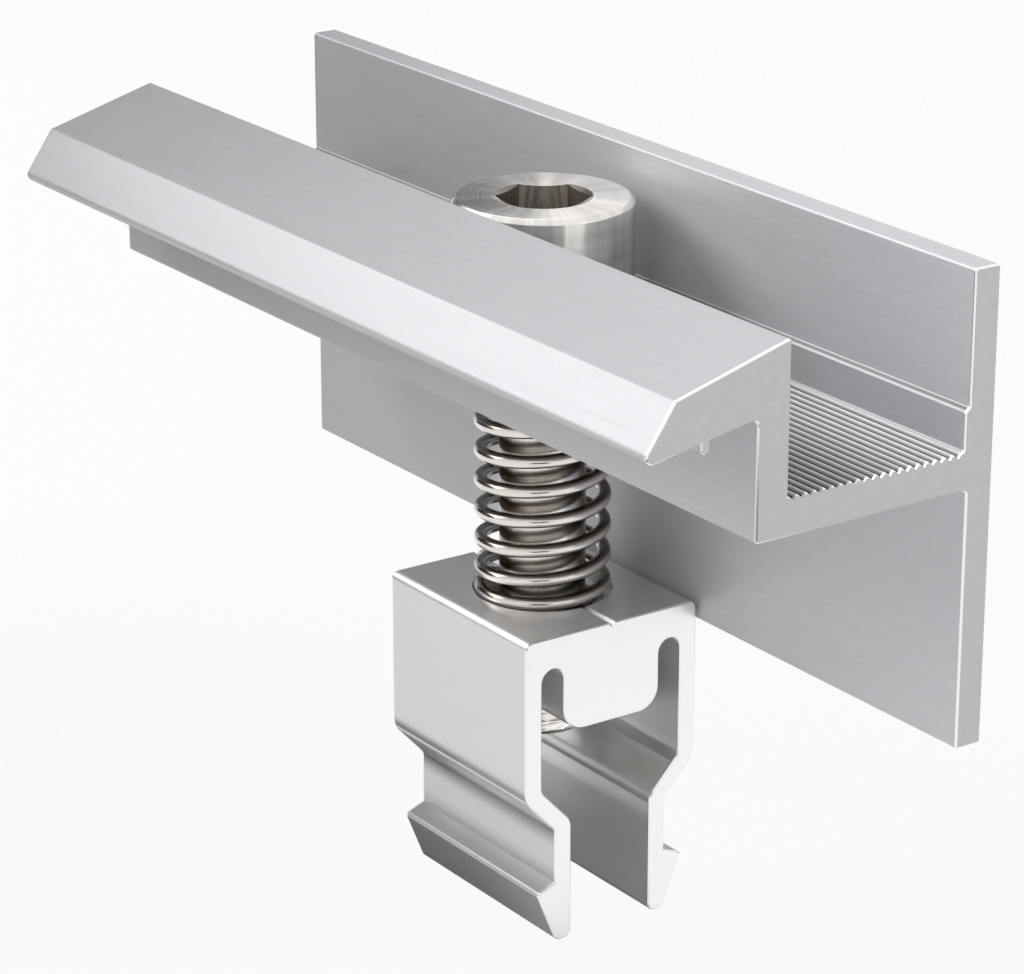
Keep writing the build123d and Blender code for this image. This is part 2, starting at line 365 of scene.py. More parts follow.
# %% [markdown]
# ## Brushed and grained metal
# Aluminium that has been pushed through a die keeps fine lines along its length. They are drawn as
# noise that is stretched along X, in the object's own coordinates, so the lines stay on the metal
# when it moves. One group serves the body and the nut, each with its own length and spacing of
# line, and a second group finds the sawn ends of both.

# %% Draw the lines and find the sawn ends
COARSE_SCALE = 0.21
COARSE_PART = 1 / 3
SPECKLES_PER_MM = 3.2


def drawn_lines_group():
    """Lines along X: noise of (x / length, y / spacing, z / spacing), plus a part of coarse noise
    in the same place."""
    group, given, out = new_group(
        "drawn lines",
        [("Place", "Vector", None), ("Length", "Float", 4.0), ("Spacing", "Float", 0.08)],
        [("Lines", "Float")],
    )
    along = math_node(group, "DIVIDE", 1 / MM, (given, "Length"))
    across = math_node(group, "DIVIDE", 1 / MM, (given, "Spacing"))
    rate = node(group, "CombineXYZ", X=(along, 0), Y=(across, 0), Z=(across, 0))
    fine_place = node(
        group, "VectorMath", {"operation": "MULTIPLY"}, _0=(given, "Place"), _1=(rate, 0),
    )
    fine = node(group, "TexNoise", Vector=(fine_place, 0), Scale=1.0, Detail=3.0, Roughness=0.6)
    coarse_place = node(
        group, "VectorMath", {"operation": "SCALE"}, _0=(fine_place, 0), Scale=COARSE_SCALE,
    )
    coarse = node(group, "TexNoise", Vector=(coarse_place, 0), Scale=1.0, Detail=2.0)
    part = math_node(group, "MULTIPLY", (coarse, 0), COARSE_PART)
    lines = math_node(group, "MULTIPLY_ADD", (fine, 0), 2 / 3, (part, 0))
    group.links.new(lines.outputs[0], out.inputs["Lines"])
    return group


def sawn_end_group():
    """Mask: one beyond either cut end, where x is past the given limits. Speckle: fine noise for
    the cut face."""
    group, given, out = new_group(
        "sawn ends",
        [("Place", "Vector", None), ("Low", "Float", 0.0), ("High", "Float", 0.0)],
        [("Mask", "Float"), ("Speckle", "Float")],
    )
    parts = node(group, "SeparateXYZ", Vector=(given, "Place"))
    beyond = math_node(group, "GREATER_THAN", (parts, "X"), (given, "High"))
    before = math_node(group, "LESS_THAN", (parts, "X"), (given, "Low"))
    mask = math_node(group, "MAXIMUM", (beyond, 0), (before, 0))
    speckle = node(
        group, "TexNoise", Vector=(given, "Place"), Scale=SPECKLES_PER_MM / MM, Detail=4.0,
        Roughness=0.7,
    )
    group.links.new(mask.outputs[0], out.inputs["Mask"])
    group.links.new(speckle.outputs[0], out.inputs["Speckle"])
    return group


drawn_lines = drawn_lines_group()
sawn_ends = sawn_end_group()
print("groups:", [g.name for g in bpy.data.node_groups])

# %% [markdown]
# ## Painted shades that belong to a place
# In the photograph the grooves between the teeth are dark, the step on the band is in shade, and
# the nose and the back plate go from dark at the far end to bright at the near one. The lamps and
# cards here don't bring all of that out, so it is painted into the colour: painted shade in the
# grooves and on the step, painted highlights on the crests, and painted light along the length.
# Each is found from where the point lies on the extrusion, so it stays there whatever the light
# does.

# %% Find the grooves and crests of the teeth
SHELF_TOP = 21.1 * MM
TOOTH = 0.3 * MM
TEETH_FRONT, TEETH_BACK = -7.1 * MM, 7.4 * MM
ABOVE_CRESTS, BELOW_ROOTS = -0.05, 1.1
DARK_FROM, DARK_AT = 0.1, 0.75
BRIGHT_FROM, BRIGHT_AT = 0.24, 0.08


def groove_depth_group():
    """Depth and Crest: nought to one towards the roots and towards the crests of the teeth.

    Both come from (shelf top - z) / tooth, and count only between the two walls of the shelf."""
    group, given, out = new_group(
        "groove depth", [("Place", "Vector", None)], [("Depth", "Float"), ("Crest", "Float")],
    )
    parts = node(group, "SeparateXYZ", Vector=(given, "Place"))
    below = math_node(group, "SUBTRACT", SHELF_TOP, (parts, "Z"))
    share = math_node(group, "DIVIDE", (below, 0), TOOTH)
    behind = math_node(group, "GREATER_THAN", (parts, "Y"), TEETH_FRONT)
    before = math_node(group, "LESS_THAN", (parts, "Y"), TEETH_BACK)
    across = math_node(group, "MULTIPLY", (behind, 0), (before, 0))
    low_enough = math_node(group, "LESS_THAN", (share, 0), BELOW_ROOTS)
    high_enough = math_node(group, "GREATER_THAN", (share, 0), ABOVE_CRESTS)
    level = math_node(group, "MULTIPLY", (low_enough, 0), (high_enough, 0))
    here = math_node(group, "MULTIPLY", (across, 0), (level, 0))
    deep = node(group, "MapRange", Value=(share, 0), _1=DARK_FROM, _2=DARK_AT)
    high = node(group, "MapRange", Value=(share, 0), _1=BRIGHT_FROM, _2=BRIGHT_AT)
    depth = math_node(group, "MULTIPLY", (deep, 0), (here, 0))
    crest = math_node(group, "MULTIPLY", (high, 0), (here, 0))
    group.links.new(depth.outputs[0], out.inputs["Depth"])
    group.links.new(crest.outputs[0], out.inputs["Crest"])
    return group


groove_depth = groove_depth_group()
print("teeth between y in mm:", round(TEETH_FRONT / MM, 2), round(TEETH_BACK / MM, 2))

# %% [markdown]
# ## The step on the band
# A narrow step runs along the top of the thicker band, in the shade of the back plate, and that
# shade is painted into its colour. Its height and its two edges are enough to find it.

# %% Find the step
LEDGE_FRONT, LEDGE_BACK = 7.58 * MM, 7.79 * MM
LEDGE_HEIGHT, LEDGE_REACH = 23.8 * MM, 0.30 * MM


def ledge_mask_group():
    """One on the narrow step on top of the band, between its front and back edges."""
    group, given, out = new_group("ledge mask", [("Place", "Vector", None)], [("Mask", "Float")])
    parts = node(group, "SeparateXYZ", Vector=(given, "Place"))
    near = math_node(group, "COMPARE", (parts, "Z"), LEDGE_HEIGHT, LEDGE_REACH)
    behind = math_node(group, "GREATER_THAN", (parts, "Y"), LEDGE_FRONT)
    before = math_node(group, "LESS_THAN", (parts, "Y"), LEDGE_BACK)
    across = math_node(group, "MULTIPLY", (behind, 0), (before, 0))
    mask = math_node(group, "MULTIPLY", (across, 0), (near, 0))
    group.links.new(mask.outputs[0], out.inputs["Mask"])
    return group


ledge_mask = ledge_mask_group()
print("step at z in mm:", round(LEDGE_HEIGHT / MM, 2))

# %% [markdown]
# ## Tones along the length
# A long bar seen from near one end is lit unevenly along its length. The nose, its bevel and the
# back plate each get painted light, a tone that changes evenly from the far end to the near one.

# %% Find the tones along the length
HALF_LENGTH = 40 * MM
PLATE_FROM = 7.6 * MM
BEVEL_FROM, BEVEL_AT = -16.05 * MM, -16.25 * MM
PLATE_TONES, NOSE_TONES, BEVEL_TONES = (1.02, 1.24), (0.86, 1.10), (1.0, 0.94)


def tone_along_group():
    """Painted light, tone = a + (b - a) (x / 80 mm + 1/2), with a pair each for back plate, nose
    and bevel.
    """
    group, given, out = new_group("tone along", [("Place", "Vector", None)], [("Tone", "Float")])
    parts = node(group, "SeparateXYZ", Vector=(given, "Place"))

    def along(far, near):
        made = node(
            group, "MapRange", Value=(parts, "X"), _1=-HALF_LENGTH, _2=HALF_LENGTH, _3=far, _4=near,
        )
        return made, 0

    on_bevel = node(group, "MapRange", Value=(parts, "Y"), _1=BEVEL_FROM, _2=BEVEL_AT)
    on_plate = math_node(group, "GREATER_THAN", (parts, "Y"), PLATE_FROM)
    nose, bevel, plate = along(*NOSE_TONES), along(*BEVEL_TONES), along(*PLATE_TONES)
    front = node(group, "MapRange", Value=(on_bevel, 0), _3=nose, _4=bevel)
    tone = node(group, "MapRange", Value=(on_plate, 0), _3=(front, 0), _4=plate)
    group.links.new(tone.outputs[0], out.inputs["Tone"])
    return group


tone_along = tone_along_group()
print("groups:", [g.name for g in bpy.data.node_groups])

# %% [markdown]
# ## The colour of the long faces
# The drawn lines come first, as a slight change of grey. The painted shades and highlights by
# place are laid over them in turn, each through its own mask. The body takes the painted light
# along its length, the painted shade of the step and the grooves and the painted highlight of the
# crests, and the nut takes the painted shade and the painted highlight of its bends.

# %% Colour the long faces
# Bright bare metal: on the burnished edge it is partly a painted highlight, and inside the nut's
# lower bend it is a painted highlight.
EDGE_SHINE = (0.96, 0.96, 0.96)
# Painted shade in the grooves between the teeth, and a painted highlight on their crests.
GROOVE_SHADE = (0.045, 0.045, 0.048)
CREST_SHINE = (0.88, 0.88, 0.89)
# Painted shade on the step along the top of the band.
LEDGE_SHADE = (0.26, 0.26, 0.27)
BEND_SHADE = (0.42, 0.41, 0.40)


def long_face_colour(tree, place, lines, faces, toned, rounding):
    """Mix node for the colour: lines, then the bends' shades, or else the body's by place."""
    colour = blended(tree, (lines, "Lines"), *faces)
    if rounding:
        # Painted shade on the nut's hollow, neck and hooks, then a painted highlight inside its
        # lower bend.
        colour = blended(tree, (rounding, "Shade"), colour_of(colour), BEND_SHADE)
        colour = blended(tree, (rounding, "Shine"), colour_of(colour), EDGE_SHINE)
    if toned:
        # The tone multiplies the colour: painted light, darker at the far end and brighter at the
        # near one.
        tone = placed(tree, tone_along, Place=place)
        colour = node(
            tree, "Mix", {"data_type": "RGBA", "blend_type": "MULTIPLY"}, _0=1.0,
            _6=colour_of(colour), _7=(tone, "Tone"),
        )
        step = placed(tree, ledge_mask, Place=place)
        colour = blended(tree, (step, "Mask"), colour_of(colour), LEDGE_SHADE)
        # Painted shade deep in the grooves and a painted highlight on the crests of the teeth.
        depth = placed(tree, groove_depth, Place=place)
        colour = blended(tree, (depth, "Depth"), colour_of(colour), GROOVE_SHADE)
        colour = blended(tree, (depth, "Crest"), colour_of(colour), CREST_SHINE)
    return colour


# %% [markdown]
# ## The finish of an extrusion
# Both extrusions come out of a die and are sawn to length, so one function makes both finishes.
# The drawn lines tint the colour, the roughness and a slight relief. Masks bring in the plain
# sawn ends and, in a thin line beside them, the bright edge where the saw's burr was rubbed off,
# whose bright colour is partly a painted highlight.

# %% Make the finish of drawn aluminium
END_INSET = 0.02 * MM
BURNISHED = 0.18 * MM
LINE_RELIEF = 0.02 * MM
EDGE_ROUGHNESS = 0.28


def end_limits(name, inset=END_INSET):
    """Where along X the two sawn ends of a solid begin."""
    low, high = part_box(name)
    return low.x + inset, high.x - inset


def extruded_aluminium(
    name, ends, faces, cut, length, spacing, polish, metal, relief, toned=False, bends=None,
):
    """Drawn lines tint the colour, the roughness and the bump. One mask swaps in the sawn ends,
    and a second, up to the burnished width from them, the bright broken edge, which is partly a
    painted highlight. A toned extrusion gets the painted shades and light by place, and one with
    bends has them rounded through its normal."""
    material, output = blank_material(name)
    tree = material.node_tree
    place = (node(tree, "TexCoord"), "Object")
    lines = placed(tree, drawn_lines, Place=place, Length=length, Spacing=spacing)
    saw = placed(tree, sawn_ends, Place=place, Low=ends[0], High=ends[1])
    near = placed(tree, sawn_ends, Place=place, Low=ends[0] + BURNISHED, High=ends[1] - BURNISHED)
    edge = math_node(tree, "SUBTRACT", (near, "Mask"), (saw, "Mask"))
    rounding = placed(tree, bends, Place=place) if bends else None
    long_colour = long_face_colour(tree, place, lines, faces, toned, rounding)
    # The burnished edge by the sawn ends: bright bare metal, partly a painted highlight.
    burnished_and_highlit_colour = blended(tree, (edge, 0), colour_of(long_colour), EDGE_SHINE)
    cut_colour = blended(tree, (saw, "Speckle"), *cut)
    colour = blended(tree, (saw, "Mask"), colour_of(burnished_and_highlit_colour), colour_of(cut_colour))
    long_rough = varied(tree, (lines, "Lines"), polish[0], polish[1])
    worn_rough = node(tree, "MapRange", Value=(edge, 0), _3=(long_rough, 0), _4=EDGE_ROUGHNESS)
    rough = node(tree, "MapRange", Value=(saw, "Mask"), _3=(worn_rough, 0), _4=polish[2])
    burnished = node(tree, "MapRange", Value=(edge, 0), _3=metal[0], _4=1.0)
    bare = node(tree, "MapRange", Value=(saw, "Mask"), _3=(burnished, 0), _4=metal[1])
    quiet = math_node(tree, "SUBTRACT", 1.0, (near, "Mask"))
    height = math_node(tree, "MULTIPLY", (lines, "Lines"), (quiet, 0))
    bump = node(tree, "Bump", Height=(height, 0), Strength=relief, Distance=LINE_RELIEF)
    normal = (bump, 0)
    if rounding:
        bent = node(
            tree, "Bump", Height=(rounding, "Height"), Strength=1.0, Distance=MM, Normal=(bump, 0),
        )
        mixed = node(
            tree, "Mix", {"data_type": "VECTOR"}, _0=(near, "Mask"), _4=(bent, 0), _5=(bump, 0),
        )
        normal = (mixed, 1)
    shader = node(
        tree, "BsdfPrincipled", Base_Color=colour_of(colour), Roughness=(rough, 0),
        Normal=normal, Metallic=(bare, 0),
    )
    tree.links.new(shader.outputs[0], output.inputs["Surface"])
    return material


def dress(name, material):
    """Gives a measured solid its finish, in the slots that it already has."""
    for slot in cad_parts[name].material_slots:
        slot.material = material


# %% [markdown]
# ## The clamp body
# The body keeps the mesh of its measured solid, because its flat faces, sharp teeth and small
# edge radii are already exact there. Only its finish is new: cool grey brushed aluminium with
# lines along its length and the painted shades and light by place, and plain, slightly warmer
# metal on the two sawn ends.

# %% Finish the clamp body
body_finish = extruded_aluminium(
    "brushed clamp aluminium", end_limits("clamp_body"),
    faces=((0.54, 0.54, 0.56), (0.71, 0.71, 0.73)), cut=((0.67, 0.66, 0.655), (0.77, 0.76, 0.755)),
    length=3.5, spacing=0.11, polish=(0.44, 0.54, 0.55), metal=(0.27, 0.33), relief=0.10,
    toned=True,
)
dress("clamp_body", body_finish)
print("clamp body ends at x in mm:", [round(v / MM, 2) for v in end_limits("clamp_body", 0)])

# %% [markdown]
# ## The channel nut
# The nut is a second extrusion with a smoother, paler satin face, and its sawn ends are nearly
# white. It keeps its measured mesh too, and takes the same finish with other values. Its legs
# bend more softly in the photograph than in the solid, so the finish turns the normal near each
# bend as a fillet would. It also paints shade into the colour on the hollow under the shoulder,
# on the neck and on the hooks, which the photograph shows in shade, and paints a highlight on the
# inner side of the lower bend.

# %% Round the nut's bends in its finish
SHOULDER_TOP, SHOULDER_FOOT = -10.7, -13.5
SHOULDER_SLOPE = 0.40
WALL_MIDDLE_FOOT, WALL_MIDDLE_TOP = 4.2, 6.8
BEND_REACH, EDGE_REACH = 1.5, 0.55
NUT_TOP, NUT_HALF_WIDTH = 1.6, 7.5
HOOK_TOP, HOOK_SHADE_STARTS = -17.6, 1.3
NECK_PAINTED_SHADE, HOOK_PAINTED_SHADE = 0.16, 0.60


def soft_bends_group():
    """Height in mm of a fillet: -slope (reach - d)^2 / (2 reach), with d the distance from the
    bend. It is lowest at a convex bend and highest at a concave one.

    The walls' inner sides bend the other way round, so there the sign changes. The top edges are
    rounded in the same way, with the distance down the side plus the distance in from it as d."""
    group, given, out = new_group(
        "soft bends", [("Place", "Vector", None)],
        [("Height", "Float"), ("Shade", "Float"), ("Shine", "Float")],
    )
    in_mm = node(group, "VectorMath", {"operation": "SCALE"}, _0=(given, "Place"), Scale=1 / MM)
    parts = node(group, "SeparateXYZ", Vector=(in_mm, 0))
    aside = math_node(group, "ABSOLUTE", (parts, "Y"))

    def fillet(distance, width, slope):
        short = math_node(group, "SUBTRACT", width, distance)
        inside = math_node(group, "MAXIMUM", (short, 0), 0.0)
        square = math_node(group, "MULTIPLY", (inside, 0), (inside, 0))
        return math_node(group, "MULTIPLY", (square, 0), slope / (2 * width))

    bends = []
    for height in (SHOULDER_TOP, SHOULDER_FOOT):
        off = math_node(group, "SUBTRACT", (parts, "Z"), height)
        from_bend = math_node(group, "ABSOLUTE", (off, 0))
        bends.append(fillet((from_bend, 0), BEND_REACH, SHOULDER_SLOPE))
    shoulder = math_node(group, "SUBTRACT", (bends[1], 0), (bends[0], 0))
    middle = node(
        group, "MapRange", Value=(parts, "Z"), _1=SHOULDER_FOOT, _2=SHOULDER_TOP,
        _3=WALL_MIDDLE_FOOT, _4=WALL_MIDDLE_TOP,
    )
    outer = math_node(group, "GREATER_THAN", (aside, 0), (middle, 0))
    sign = math_node(group, "MULTIPLY_ADD", (outer, 0), 2.0, -1.0)
    signed = math_node(group, "MULTIPLY", (shoulder, 0), (sign, 0))
    down = math_node(group, "SUBTRACT", NUT_TOP, (parts, "Z"))
    inwards = math_node(group, "SUBTRACT", NUT_HALF_WIDTH, (aside, 0))
    from_edge = math_node(group, "ADD", (down, 0), (inwards, 0))
    edge = fillet((from_edge, 0), EDGE_REACH, 1.0)
    total = math_node(group, "SUBTRACT", (signed, 0), (edge, 0))
    group.links.new(total.outputs[0], out.inputs["Height"])
    # Shade is painted shade on the outer side: in the hollow under the shoulder, on the neck, and
    # most on the hooks.
    hollow = math_node(group, "MULTIPLY", 1 / SHOULDER_SLOPE / BEND_REACH * 2, (bends[1], 0))
    neck = math_node(group, "LESS_THAN", (parts, "Z"), SHOULDER_FOOT)
    deeper = node(
        group, "MapRange", Value=(parts, "Z"), _1=HOOK_TOP + HOOK_SHADE_STARTS, _2=HOOK_TOP,
        _3=NECK_PAINTED_SHADE, _4=HOOK_PAINTED_SHADE,
    )
    painted_shade = math_node(group, "MULTIPLY_ADD", (neck, 0), (deeper, 0), (hollow, 0))
    shade = math_node(group, "MULTIPLY", (painted_shade, 0), (outer, 0))
    # Shine is a painted highlight on the inner side of the lower shoulder bend.
    inner = math_node(group, "SUBTRACT", 1.0, (outer, 0))
    shine = math_node(group, "MULTIPLY", (hollow, 0), (inner, 0))
    group.links.new(shade.outputs[0], out.inputs["Shade"])
    group.links.new(shine.outputs[0], out.inputs["Shine"])
    return group


soft_bends = soft_bends_group()
print("groups:", [g.name for g in bpy.data.node_groups])

# %% Finish the channel nut
nut_finish = extruded_aluminium(
    "satin nut aluminium", end_limits("channel_nut"),
    faces=((0.77, 0.762, 0.752), (0.86, 0.852, 0.842)),
    cut=((0.95, 0.95, 0.945), (1.0, 1.0, 0.995)),
    length=9.0, spacing=0.16, polish=(0.32, 0.38, 0.30), metal=(0.58, 0.94), relief=0.04,
    bends=soft_bends,
)
dress("channel_nut", nut_finish)
print("channel nut ends at x in mm:", [round(v / MM, 2) for v in end_limits("channel_nut", 0)])

# %% [markdown]
# ## Surfaces from grids of points
# The screw and the spring are rows of points: each row is one ring, and the rings follow each
# other along a profile or a path. Numpy works out all the points at once, and one helper turns the
# grid into a mesh, with a point in the middle of the first and last rings to close them.

# %% Turn a grid of rings into a closed mesh
SHARP_FROM = radians(32)


def closed_rings(name, rings, first_middle, last_middle):
    """Quads join ring i to ring i + 1 and point j to point j + 1, and a fan closes each end."""
    rows, across = rings.shape[:2]
    index = np.arange(rows * across).reshape(rows, across)
    onward = np.roll(index, -1, axis=1)
    quads = np.stack([index[:-1], onward[:-1], onward[1:], index[1:]], axis=-1).reshape(-1, 4)
    start = np.full(across, rows * across)
    first_fan = np.stack([start, onward[0], index[0]], axis=-1)
    last_fan = np.stack([start + 1, index[-1], onward[-1]], axis=-1)
    points = np.concatenate([rings.reshape(-1, 3), [first_middle, last_middle]])
    mesh = bpy.data.meshes.new(name)
    mesh.from_pydata(points.tolist(), [], quads.tolist() + first_fan.tolist() + last_fan.tolist())
    mesh.shade_smooth()
    mesh.set_sharp_from_angle(angle=SHARP_FROM)
    made = bpy.data.objects.new(name, mesh)
    bpy.context.scene.collection.objects.link(made)
    halves = [quads[:, [0, 1, 2]], quads[:, [0, 2, 3]]]
    corners = points[np.concatenate([*halves, first_fan, last_fan])]
    volume = np.einsum("ij,ij->", corners[:, 0], np.cross(corners[:, 1], corners[:, 2])) / 6
    print(name, "triangles:", len(corners), "volume in mm3:", round(volume / MM**3, 1))
    return made


# %% [markdown]
# ## The profile of the cap screw
# A cap screw is turned in a lathe, so nearly all of it is one profile carried round the axis. The
# profile is a short list of corners, each with a small radius of its own, as a lathe tool leaves.
# The hexagon is the exception: there the radius depends on the angle round the axis.

# %% Measure the screw and round its corners
AROUND = 192
HEX_CORNER_AT = 55.0
ARC_STEPS = 5

screw_low, screw_high = (np.array(corner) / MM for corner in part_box("cap_screw"))
angles = radians(HEX_CORNER_AT) + np.arange(AROUND) * tau / AROUND


def rounded_profile(corners):
    """Each (r, z, radius) corner becomes an arc: a quadratic curve between its tangent points."""
    points = []
    for i, (r, z, radius) in enumerate(corners):
        here = np.array([r, z])
        if radius == 0:
            points.append(here)
            continue
        back = np.array(corners[i - 1][:2]) - here
        on = np.array(corners[i + 1][:2]) - here
        start = here + back / np.linalg.norm(back) * radius
        end = here + on / np.linalg.norm(on) * radius
        t = np.linspace(0, 1, ARC_STEPS)[:, None]
        points.extend((1 - t) ** 2 * start + 2 * t * (1 - t) * here + t**2 * end)
    return np.array(points)


def turned(corners):
    """Rings of a turned profile: the same radius and height at every angle."""
    profile = rounded_profile(corners)
    radius = np.repeat(profile[:, :1], AROUND, axis=1)
    height = np.repeat(profile[:, 1:], AROUND, axis=1)
    return radius, height


print("screw from", round(screw_low[2], 2), "to", round(screw_high[2], 2), "mm")

# %% [markdown]
# ## The thread and the socket
# The thread is a ridge whose height depends on how far the place is, in pitches, from a line that
# winds round the shank. The socket's mouth is a cone that meets six flat walls, and each meeting
# line is a shallow scallop, because a flat wall is nearer to the axis at its middle than at its
# corners.

# %% Work out the thread and the socket
PITCH = 1.25
RINGS_PER_PITCH = 14
THREAD = 3.95
THREAD_DEPTH = 0.62
THREAD_TOP = -0.27
CREST_HALF, FLANK = 0.06, 0.34
WAIST = 3.15
SCREW_CHAMFER = 0.9
FLAT = 3.0
SOCKET_DEPTH = 4.5
SOCKET_POINT = 1.2
MOUTH_PLAY = 0.03
LEAD_SLOPE = 0.3

thread_runs_out = THREAD_TOP + THREAD - WAIST


def threaded_end():
    """Radius = crest - depth * groove, where groove is a trapezium wave of
    z / pitch - angle / tau. A cone at either end cuts the thread off."""
    turns = (thread_runs_out - screw_low[2]) / PITCH
    z = np.linspace(screw_low[2], thread_runs_out, int(turns * RINGS_PER_PITCH))[:, None]
    wave = (z / PITCH - angles[None, :] / tau) % 1.0
    groove = np.clip((0.5 - np.abs(wave - 0.5) - CREST_HALF) / FLANK, 0, 1)
    radius = THREAD - THREAD_DEPTH * groove
    lower_cone = THREAD - SCREW_CHAMFER + (z - screw_low[2])
    upper_cone = WAIST + (thread_runs_out - z)
    return np.minimum(np.minimum(radius, lower_cone), upper_cone), np.repeat(z, AROUND, axis=1)


def hexagon_radius():
    """Distance from the axis to the flat wall at each angle: half the flats over the cosine."""
    turn = (angles - radians(HEX_CORNER_AT)) % (pi / 3) - pi / 6
    return FLAT / np.cos(turn)


def socket(top):
    """Rings from the mouth, down the cone to the scallops, down the walls, to the drill point."""
    wall = hexagon_radius()
    mouth = wall.max() + MOUTH_PLAY
    meeting = top - (mouth - wall) * LEAD_SLOPE
    floor = np.full(AROUND, top - SOCKET_DEPTH)
    rings = [(np.full(AROUND, mouth), np.full(AROUND, top))]
    rings += [(mouth + (wall - mouth) * s, top + (meeting - top) * s) for s in (0.05, 0.5, 0.95)]
    rings += [(wall, meeting + (floor - meeting) * s) for s in (0.0, 0.03, 0.5, 0.97, 1.0)]
    rings += [(np.full(AROUND, FLAT * s), floor - SOCKET_POINT * (1 - s)) for s in (0.99, 0.6, 0.1)]
    return tuple(np.array(part) for part in zip(*rings))


print("turns of thread:", round((thread_runs_out - screw_low[2]) / PITCH, 2))

# %% [markdown]
# ## The whole screw
# The rings of the thread, of the shank and head, and of the socket follow one another from the
# screw's end, up over the head and down into the hexagon. So the screw is one closed surface.

# %% Put the screw together
HEAD = 6.5
HEAD_HEIGHT = 8.0
HEAD_EDGE = 0.34
HEAD_FILLET, SEAT_EDGE, EDGE_ROUND = 0.4, 0.25, 0.06
SOCKET_RIM = 0.04
RUNOUT_STEP = 0.05


def cap_screw():
    top = screw_high[2]
    seat = top - HEAD_HEIGHT
    shank_and_head = turned([
        (WAIST, thread_runs_out + RUNOUT_STEP, 0), (WAIST, seat, HEAD_FILLET),
        (HEAD, seat, SEAT_EDGE), (HEAD, top - HEAD_EDGE, EDGE_ROUND),
        (HEAD - HEAD_EDGE, top, EDGE_ROUND),
        (hexagon_radius().max() + MOUTH_PLAY + SOCKET_RIM, top, 0),
    ])
    parts = [threaded_end(), shank_and_head, socket(top)]
    radius = np.concatenate([part[0] for part in parts])
    height = np.concatenate([part[1] for part in parts])
    rings = np.stack([radius * np.cos(angles), radius * np.sin(angles), height], axis=-1) * MM
    first = np.array([0, 0, height[0, 0]]) * MM
    last = np.array([0, 0, top - SOCKET_DEPTH - SOCKET_POINT]) * MM
    return closed_rings("socket_cap_screw", rings, first, last)


screw = cap_screw()

# %% [markdown]
# ## Turned steel
# The lathe leaves fine rings on the head, so light spreads across them and the top shows bright
# and dark sectors; the colour also holds these sectors, as painted sheen by the direction round
# the axis. Inside the hexagon the punched walls are duller, and their darker, browner colour is
# painted shade in the recess. In the photograph every other wall is much darker than its
# neighbours, and the shank is bright along two sides and brown between them. The lamps here don't
# show that, so both are painted: painted shade on every other wall, and painted highlights and
# painted shade on the shank.

# %% Find the lathe's rings and the hexagon's walls
RING_SPACING = 0.09
HEIGHT_PART = 0.05


def turned_rings_group():
    """Rings: noise of the distance from the axis plus a small part of the height, so they are
    fine on a turned face and soft on a side. Sweep: noise of the direction from the axis.
    Walls: one on every other wall of the hexagon, from the fraction of angle / 120 degrees."""
    group, given, out = new_group(
        "turned rings",
        [("Place", "Vector", None), ("Spacing", "Float", RING_SPACING)],
        [("Rings", "Float"), ("Sweep", "Float"), ("Distance", "Float"), ("Height", "Float"),
         ("Walls", "Float")],
    )
    parts = node(group, "SeparateXYZ", Vector=(given, "Place"))
    flat = node(group, "CombineXYZ", X=(parts, "X"), Y=(parts, "Y"), Z=0.0)
    distance = node(group, "VectorMath", {"operation": "LENGTH"}, _0=(flat, 0))
    both = math_node(group, "MULTIPLY_ADD", (parts, "Z"), HEIGHT_PART, (distance, "Value"))
    rate = math_node(group, "DIVIDE", 1 / MM, (given, "Spacing"))
    place = math_node(group, "MULTIPLY", (both, 0), (rate, 0))
    rings = node(group, "TexNoise", {"noise_dimensions": "1D"}, W=(place, 0), Scale=1.0, Detail=2.0)
    outward = node(group, "VectorMath", {"operation": "NORMALIZE"}, _0=(flat, 0))
    sweep = node(group, "TexNoise", Vector=(outward, 0), Scale=2.6, Detail=6.0, Roughness=0.62)
    turn = math_node(group, "ARCTAN2", (parts, "Y"), (parts, "X"))
    pairs = math_node(group, "MULTIPLY_ADD", (turn, 0), 1.5 / pi, 1 - HEX_CORNER_AT / 120)
    walls = math_node(group, "FRACT", (pairs, 0))
    every_other = math_node(group, "GREATER_THAN", (walls, 0), 0.5)
    group.links.new(every_other.outputs[0], out.inputs["Walls"])
    group.links.new(rings.outputs[0], out.inputs["Rings"])
    group.links.new(sweep.outputs[0], out.inputs["Sweep"])
    group.links.new(distance.outputs["Value"], out.inputs["Distance"])
    group.links.new(parts.outputs["Z"], out.inputs["Height"])
    return group


turned_rings = turned_rings_group()
print("groups:", [g.name for g in bpy.data.node_groups])

# %% Make the steel of the head
SOCKET_WITHIN, SOCKET_DOWN_TO = 3.55, 6.2
SWEEP_PART, RINGS_PART = 0.65, 0.35
SHEEN_FROM, SHEEN_AT = 0.38, 0.60


